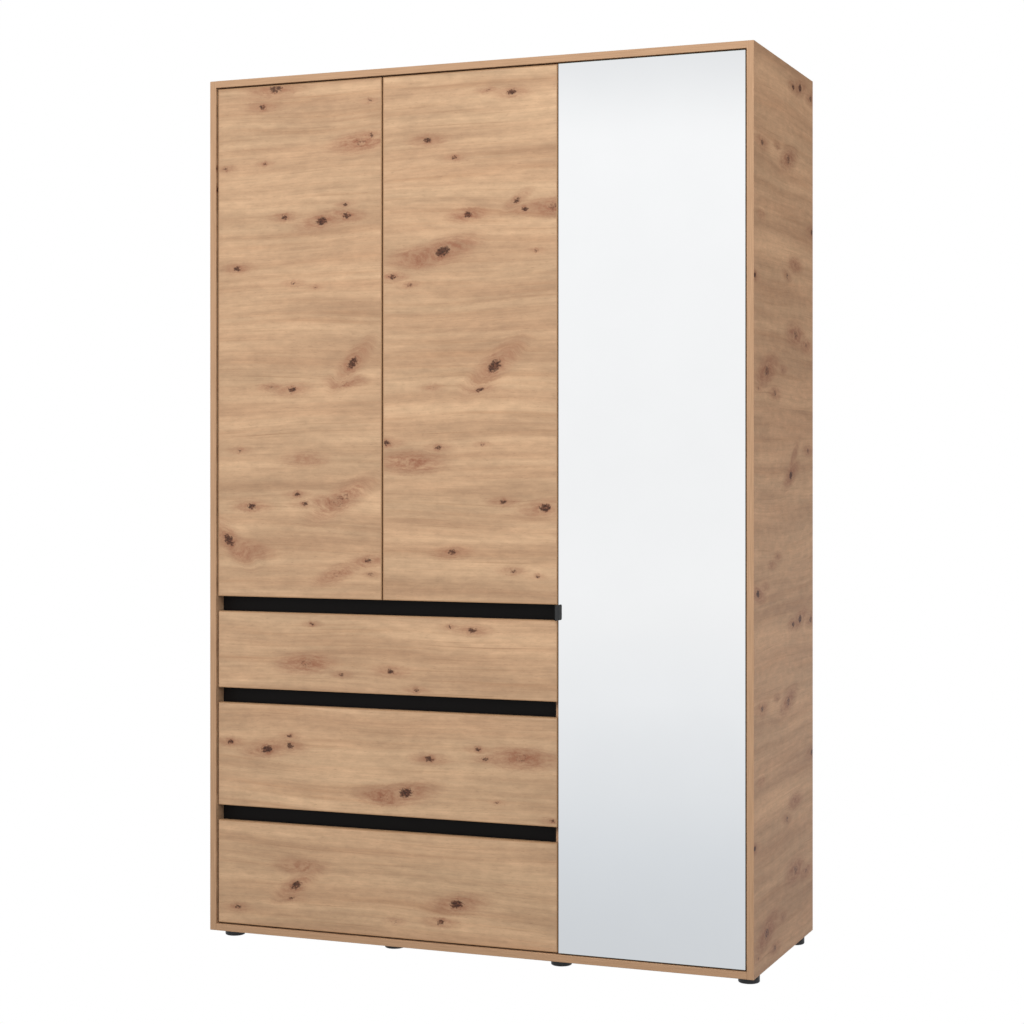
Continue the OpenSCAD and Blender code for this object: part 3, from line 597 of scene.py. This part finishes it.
LEFT_DOOR_KNOTS = [
    (157, 1212, 22, 5, 0.7, 0.7), (121, 1170, 12, 0, 0.75, 0.5), (405, 1168, 7, 0, 0.6, 0.3),
    (379, 1072, 20, 5, 0.35, 1.0), (408, 1081, 9, 0, 0.6, 0.6), (20, 1027, 8, 0, 0.6, 0.4),
    (127, 1033, 7, 0, 0.6, 0.3), (179, 904, 11, 0, 0.8, 0.5), (278, 891, 18, 10, 0.9, 0.8),
    (341, 927, 8, 0, 0.7, 0.4), (344, 900, 12, 0, 0.8, 0.9), (52, 786, 12, 0, 0.75, 0.6),
    (202, 747, 8, 0, 0.6, 0.5), (261, 736, 6, 0, 0.5, 0.3), (359, 554, 20, 48, 0.85, 0.6),
    (342, 513, 14, 0, 0.3, 0.9), (200, 494, 13, 5, 0.85, 0.6), (144, 500, 9, 0, 0.35, 0.7),
    (59, 350, 9, 0, 0.5, 0.3), (235, 328, 16, 0, 0.0, 0.6), (214, 246, 10, 0, 0.8, 0.4),
    (234, 223, 10, 0, 0.7, 0.4), (91, 216, 14, 0, 0.85, 0.7), (303, 227, 16, 0, 0.25, 0.9),
    (332, 235, 24, 30, 0.35, 0.9), (29, 135, 22, -45, 0.85, 0.6), (81, 114, 18, -10, 0.1, 0.8),
    (398, 91, 13, 8, 0.6, 0.8), (320, 59, 16, 20, 0.3, 0.8), (407, 60, 8, 0, 0.5, 0.3),
]
RIGHT_DOOR_KNOTS = [
    (323, 1164, 13, 0, 0.8, 0.5), (265, 1173, 8, 0, 0.4, 0.5), (114, 1066, 13, 0, 0.8, 0.6),
    (181, 1023, 9, 0, 0.7, 0.4), (215, 890, 13, 4, 0.8, 1.0), (337, 918, 11, 35, 0.7, 0.6),
    (356, 897, 10, 0, 0.8, 0.7), (425, 898, 18, 0, 0.4, 1.0), (152, 808, 24, 15, 0.85, 1.0),
    (92, 797, 20, 5, 0.1, 0.9), (24, 753, 11, 0, 0.75, 0.8), (66, 733, 8, 0, 0.6, 0.4),
    (383, 802, 6, 0, 0.5, 0.3), (281, 541, 24, 40, 0.85, 0.7), (244, 498, 12, 0, 0.8, 0.6),
    (125, 494, 8, 0, 0.35, 0.5), (8, 366, 12, 0, 0.8, 0.5), (141, 355, 10, 0, 0.7, 0.4),
    (251, 362, 6, 0, 0.5, 0.3), (70, 321, 22, 0, 0.15, 1.0), (303, 231, 11, 0, 0.75, 0.5),
    (405, 218, 18, 10, 0.9, 0.7), (176, 114, 13, 5, 0.7, 0.7), (327, 74, 10, 0, 0.7, 0.5),
    (387, 63, 7, 0, 0.6, 0.3),
]
left_low, left_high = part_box("door_left")
right_low, right_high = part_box("door_right")
oak_left_door = oak_laminate("oak_laminate_left_door", "Y", left_low, LEFT_DOOR_KNOTS, seed=3.0,
                             far_corner=left_high)
oak_right_door = oak_laminate("oak_laminate_right_door", "Y", right_low, RIGHT_DOOR_KNOTS, seed=5.0,
                              far_corner=right_high)
finish_in("door_left", oak_left_door)
finish_in("door_right", oak_right_door)
for node in ("door_left", "door_right"):
    ease_edges(node, FRONT_EDGE_RADIUS, 3)


# ---- Mirror door ---------------------------------------------------------------------------
# Full-height door of the same board with a 3 mm float-glass mirror glued all over its front. The
# glass has ground edges. It is silvered, so it shows the room with a very slight green cast.

finish_in("mirror_door_panel", oak_facing)
ease_edges("mirror_door_panel", EDGE_RADIUS)
silvered_glass, tree, shader = new_material("silvered_float_glass")
place = add(tree, "TexCoord").outputs
FILM = 111.0
GLASS_EDGE_RADIUS = 0.0005
film = add(tree, "TexNoise", {"Vector": place["Object"], "Scale": MM_PER_M / FILM, "Detail": 4.0}).outputs[0]
front = add(tree, "SeparateXYZ", {0: place["Normal"]}).outputs["Y"]
front = add(tree, "Math", {0: front, 1: -0.9}, operation="LESS_THAN").outputs[0]
silver = add(tree, "Mix", {0: film, 6: rgb("#f6f7f7"), 7: rgb("#f9fafa")}, **COLOURS).outputs[2]
ground = add(tree, "Mix", {0: film, 6: rgb("#9fb3aa"), 7: rgb("#b9c9c1")}, **COLOURS).outputs[2]
colour = add(tree, "Mix", {0: front, 6: ground, 7: silver}, **COLOURS).outputs[2]
polish = add(tree, "MapRange", {0: film, 3: 0.004, 4: 0.02}).outputs[0]
dull = add(tree, "MapRange", {0: front, 3: 0.35, 4: 0.0}).outputs[0]
rough = add(tree, "Math", {0: polish, 1: dull}, operation="ADD").outputs[0]
metal = add(tree, "MapRange", {0: front, 3: 0.2, 4: 1.0}).outputs[0]
for socket, value in (("Base Color", colour), ("Roughness", rough), ("Metallic", metal)):
    tree.links.new(value, shader.inputs[socket])
finish_in("mirror_glass", silvered_glass)
ease_edges("mirror_glass", GLASS_EDGE_RADIUS, 1)
# Bent handle tab round the mirror door's edge: 2 mm steel strip with matt black powder coat,
# which shows a fine orange peel and a soft grey edge light.
black_coat, tree, shader = new_material("black_powder_coated_steel")
place = add(tree, "TexCoord").outputs["Object"]
COAT_PEEL = 0.91
STRIP_EDGE_RADIUS = 0.0004
peel = add(tree, "TexNoise", {"Vector": place, "Scale": MM_PER_M / COAT_PEEL, "Detail": 2.0}).outputs[0]
colour = add(tree, "Mix", {0: peel, 6: rgb("#0c0c0d"), 7: rgb("#151516")}, **COLOURS).outputs[2]
rough = add(tree, "MapRange", {0: peel, 3: 0.38, 4: 0.52}).outputs[0]
bump = add(tree, "Bump", {"Strength": 0.3, "Distance": 0.00008, "Height": peel}).outputs[0]
for socket, value in (("Base Color", colour), ("Roughness", rough), ("Normal", bump)):
    tree.links.new(value, shader.inputs[socket])
shader.inputs["Specular IOR Level"].default_value = 0.12
finish_in("mirror_handle", black_coat)
ease_edges("mirror_handle", STRIP_EDGE_RADIUS)


# ---- Hinges --------------------------------------------------------------------------------
# Cup hinges of pressed steel with nickel plating: warm silver, satin from the press, brighter
# where the tool has rubbed.

nickel_steel, tree, shader = new_material("nickel_plated_steel")
place = add(tree, "TexCoord").outputs["Object"]
RUB = 6.25
rubbed = add(tree, "TexNoise", {"Vector": place, "Scale": MM_PER_M / RUB, "Detail": 4.0}).outputs[0]
colour = add(tree, "Mix", {0: rubbed, 6: rgb("#bdb7ad"), 7: rgb("#d2cdc4")}, **COLOURS).outputs[2]
rough = add(tree, "MapRange", {0: rubbed, 3: 0.2, 4: 0.36}).outputs[0]
for socket, value in (("Base Color", colour), ("Roughness", rough)):
    tree.links.new(value, shader.inputs[socket])
shader.inputs["Metallic"].default_value = 1.0
for kind in ("cups", "arms"):
    for side in ("left", "right", "mirror"):
        finish_in(f"hinge_{kind}_{side}", nickel_steel)

# Cross-head screws: two through the flange of each cup, two through each mounting plate. The two
# of a pair stand evenly above and below the hinge's middle.
SCREW_HEAD = 0.0034
SCREW_RISE = 0.0013
HALF_CUP_FLANGE = 0.030
CUP_SCREW = 0.024
PLATE_SCREW = 0.016
PLATE_SCREW_IN = 0.027
PLATE_WING = 0.0025


def cross(half_arm, half_width, height):
    """A plus sign of 24 points about the z axis."""
    quarter = [(half_arm, half_width), (half_width, half_width), (half_width, half_arm)]
    points = []
    for turn in range(4):
        c, s = round(math.cos(turn * math.pi / 2)), round(math.sin(turn * math.pi / 2))
        points += [Vector((x * c - y * s, x * s + y * c, height)) for x, y in quarter]
    return [p for a, b in zip(points, points[1:] + points[:1]) for p in (a, (a + b) / 2)]


def screws(shell, spots, axis):
    """Pan heads with a cross recess; axis points out of the head."""
    first = math.radians(15)
    loops = [ring(24, SCREW_HEAD * 0.7, -0.001, first), ring(24, SCREW_HEAD, 0.0, first),
             ring(24, SCREW_HEAD * 0.93, SCREW_RISE * 0.55, first),
             ring(24, SCREW_HEAD * 0.68, SCREW_RISE * 0.95, first),
             cross(SCREW_HEAD * 0.52, SCREW_HEAD * 0.13, SCREW_RISE),
             cross(SCREW_HEAD * 0.4, SCREW_HEAD * 0.08, SCREW_RISE * 0.2)]
    turn = Vector(axis).to_track_quat("Z", "Y").to_matrix().to_4x4()
    for spot in spots:
        stack(shell, Matrix.Translation(spot) @ turn, loops)


def hinge_rows(side, count):
    """Heights of a door's hinges, evenly spaced over the box of its cups."""
    low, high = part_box(f"hinge_cups_{side}")
    first, last = low.z + HALF_CUP_FLANGE, high.z - HALF_CUP_FLANGE
    return [first + (last - first) * i / (count - 1) for i in range(count)]


board_faces = {"left": (3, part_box("side_panel_left")[1].x, 1), "right": (3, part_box("partition")[0].x, -1),
               "mirror": (4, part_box("side_panel_right")[0].x, -1)}
for side, (count, face_x, inward) in board_faces.items():
    cup_low, cup_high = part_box(f"hinge_cups_{side}")
    cup_x = (cup_low.x + cup_high.x) / 2
    plate_x = face_x + inward * PLATE_WING
    plate_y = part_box(f"hinge_arms_{side}")[1].y - PLATE_SCREW_IN
    rows = hinge_rows(side, count)
    flange = [(cup_x, cup_high.y, z + s) for z in rows for s in (-CUP_SCREW, CUP_SCREW)]
    plate = [(plate_x, plate_y, z + s) for z in rows for s in (-PLATE_SCREW, PLATE_SCREW)]
    new_piece(f"hinge_cup_screws_{side}", lambda shell: screws(shell, flange, (0.0, 1.0, 0.0)),
              nickel_steel, f"{side}_door")
    new_piece(f"hinge_plate_screws_{side}", lambda shell: screws(shell, plate, (float(inward), 0.0, 0.0)),
              nickel_steel, "carcass")


# ---- Drawers -------------------------------------------------------------------------------
# Three drawers with laminate fronts, 12 mm laminated boxes and hardboard bottoms in a groove.
# The boxes run on telescopic runners under the grip rails.

TOP_FRONT_KNOTS = [
    (253, 159, 7, 0, 0.7, 0.4), (608, 162, 7, 0, 0.6, 0.4), (664, 156, 12, 0, 0.8, 0.6),
    (236, 65, 20, 4, 0.3, 1.0), (330, 42, 8, 0, 0.6, 0.4), (457, 54, 12, 0, 0.8, 0.6),
    (523, 13, 9, 0, 0.7, 0.4),
]
MIDDLE_FRONT_KNOTS = [
    (33, 153, 11, 0, 0.8, 0.5), (132, 140, 18, 10, 0.9, 0.7), (194, 174, 8, 0, 0.7, 0.4),
    (195, 149, 12, 0, 0.8, 0.6), (556, 138, 13, 0, 0.8, 0.6), (678, 166, 9, 0, 0.7, 0.4),
    (696, 145, 9, 0, 0.7, 0.4), (785, 151, 22, 0, 0.3, 1.0), (496, 56, 22, 12, 0.9, 0.8),
    (440, 47, 18, 0, 0.2, 1.0), (726, 47, 6, 0, 0.5, 0.3), (860, 13, 8, 0, 0.6, 0.4),
]
BOTTOM_FRONT_KNOTS = [
    (224, 149, 18, 0, 0.0, 0.7), (211, 104, 18, 35, 0.85, 0.7), (196, 78, 11, 0, 0.7, 0.5),
    (53, 41, 10, 0, 0.7, 0.5), (625, 90, 20, 10, 0.9, 0.8), (586, 46, 12, 0, 0.8, 0.6),
    (470, 39, 8, 0, 0.35, 0.4),
]
for name, knots, seed in (("top", TOP_FRONT_KNOTS, 7.0), ("middle", MIDDLE_FRONT_KNOTS, 9.0),
                          ("bottom", BOTTOM_FRONT_KNOTS, 13.0)):
    front_node = f"drawer_{name}_front"
    front_low, front_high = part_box(front_node)
    finish_in(front_node, oak_laminate(f"oak_laminate_{name}_front", "Y", front_low, knots, seed=seed,
                                       far_corner=front_high))
    finish_in(f"drawer_{name}_sides", oak_upright)
    finish_in(f"drawer_{name}_back", oak_facing)
    finish_in(f"drawer_{name}_bottom", hardboard)
    ease_edges(front_node, FRONT_EDGE_RADIUS, 3)
    ease_edges(f"drawer_{name}_sides", SAWN_EDGE_RADIUS)
    ease_edges(f"drawer_{name}_back", SAWN_EDGE_RADIUS)


# ---- Studio --------------------------------------------------------------------------------
# A white floor and sky. The sky is brightest in front, dimmer to the right. The floor glows white
# to the camera; in the mirror and in the light it throws back it darkens towards the wardrobe,
# painted shade.

floor_mesh = bpy.data.meshes.new("floor")
sweep = bmesh.new()
bmesh.ops.create_grid(sweep, x_segments=1, y_segments=1, size=40.0)
sweep.to_mesh(floor_mesh)
sweep.free()
floor = bpy.data.objects.new("floor", floor_mesh)
floor.location = (0.0, 0.0, -0.0005)
bpy.context.scene.collection.objects.link(floor)
pale_floor = bpy.data.materials.new("pale_studio_floor")
pale_floor.use_nodes = True
tree = pale_floor.node_tree
tree.nodes.clear()
rays = add(tree, "LightPath").outputs
place = add(tree, "TexCoord").outputs["Object"]
distance = add(tree, "VectorMath", {0: place}, operation="LENGTH").outputs["Value"]
# Painted shade: the floor seen in the mirror darkens towards the wardrobe.
fall = add(tree, "MapRange", {0: distance, 1: 0.0, 2: 14.0}).outputs[0]
ramp = add(tree, "ValToRGB", {0: fall})
ramp.color_ramp.elements[0].color = rgb("#cfd2d6")
ramp.color_ramp.elements[1].color = rgb("#f8f8f9")
for share, colour in ((0.12, "#dcdfe3"), (0.2, "#e5e7ea"), (0.4, "#f0f1f3"), (0.75, "#f6f6f7")):
    stop = ramp.color_ramp.elements.new(share)
    stop.color = rgb(colour)
# Painted shade: the light the floor throws back is darker near the wardrobe.
near = add(tree, "MapRange", {0: distance, 1: 0.3, 2: 6.0}, **SMOOTH).outputs[0]
bounced_glow_painted_shade = add(tree, "Mix", {0: near, 6: rgb("#6c6c6c"), 7: rgb("#dcdcdc")}, **COLOURS).outputs[2]
seen = add(tree, "Mix", {0: rays["Is Glossy Ray"], 6: bounced_glow_painted_shade, 7: ramp.outputs[0]}, **COLOURS).outputs[2]
seen = add(tree, "Mix", {0: rays["Is Camera Ray"], 6: seen, 7: rgb("#ffffff")}, **COLOURS).outputs[2]
glow = add(tree, "Emission", {"Color": seen, "Strength": 1.0})
add(tree, "OutputMaterial", {"Surface": glow.outputs[0]})
floor_mesh.materials.append(pale_floor)

world = bpy.data.worlds.new("white_studio")
world.use_nodes = True
tree = world.node_tree
tree.nodes.clear()
rays = add(tree, "LightPath").outputs
way = add(tree, "TexCoord").outputs["Generated"]
parts = add(tree, "SeparateXYZ", {0: way}).outputs
front_share = add(tree, "VectorMath", {0: way, 1: (-0.35, -0.9, 0.25)},
                  operation="DOT_PRODUCT").outputs["Value"]
front_share = add(tree, "MapRange", {0: front_share, 1: -0.9, 2: 0.7}, **SMOOTH).outputs[0]
sky = add(tree, "Mix", {0: front_share, 6: rgb("#dcbdab"), 7: rgb("#ffffff")}, **COLOURS).outputs[2]
above = add(tree, "MapRange", {0: parts["Z"], 1: 0.15, 2: 0.2}, **SMOOTH).outputs[0]
rise = add(tree, "MapRange", {0: parts["Z"], 1: 0.0, 2: 0.14}).outputs[0]
behind = add(tree, "MapRange", {0: parts["Y"], 1: 0.1, 2: 0.7}, **SMOOTH).outputs[0]
backdrop = add(tree, "Mix", {0: rise, 6: rgb("#f8f8f9"), 7: rgb("#fdfdfe")}, **COLOURS).outputs[2]
backdrop = add(tree, "Mix", {0: above, 6: backdrop, 7: rgb("#eaebed")}, **COLOURS).outputs[2]
backdrop = add(tree, "Mix", {0: behind, 6: backdrop, 7: rgb("#4e4948")}, **COLOURS).outputs[2]
seen = add(tree, "Mix", {0: rays["Is Glossy Ray"], 6: sky, 7: backdrop}, **COLOURS).outputs[2]
seen = add(tree, "Mix", {0: rays["Is Camera Ray"], 6: seen, 7: rgb("#ffffff")}, **COLOURS).outputs[2]
glow = add(tree, "Background", {"Color": seen, "Strength": 1.0})
add(tree, "OutputWorld", {"Surface": glow.outputs[0]})
bpy.context.scene.world = world
bpy.context.scene.view_settings.view_transform = "Standard"

# Two softboxes aimed at the wardrobe's middle, energy in watts.
MIDDLE = Vector((0.0, 0.0, 1.0))
for name, energy, spot in (("front_softbox", 108.0, (0.6, -4.6, 3.6)),
                           ("rear_softbox", 150.0, (-1.8, 4.6, 3.0))):
    lamp = bpy.data.lights.new(name, "AREA")
    lamp.shape = "RECTANGLE"
    lamp.size = 3.0
    lamp.size_y = 2.4
    lamp.energy = energy
    softbox = bpy.data.objects.new(name, lamp)
    softbox.location = spot
    softbox.rotation_euler = (MIDDLE - softbox.location).to_track_quat("-Z", "Y").to_euler()
    softbox.visible_glossy = False
    bpy.context.scene.collection.objects.link(softbox)

# Eye level a little over half the wardrobe's height, from the right of its front.
camera_data = bpy.data.cameras.new("camera")
camera_data.lens = 74.25
camera_data.sensor_width = 36.0
camera_data.shift_y = -0.0454
camera = bpy.data.objects.new("camera", camera_data)
camera.location = (1.890, -4.7201, 1.1414)
camera.rotation_euler = (math.radians(90.0), 0.0, math.radians(21.77))
bpy.context.scene.collection.objects.link(camera)
bpy.context.scene.camera = camera
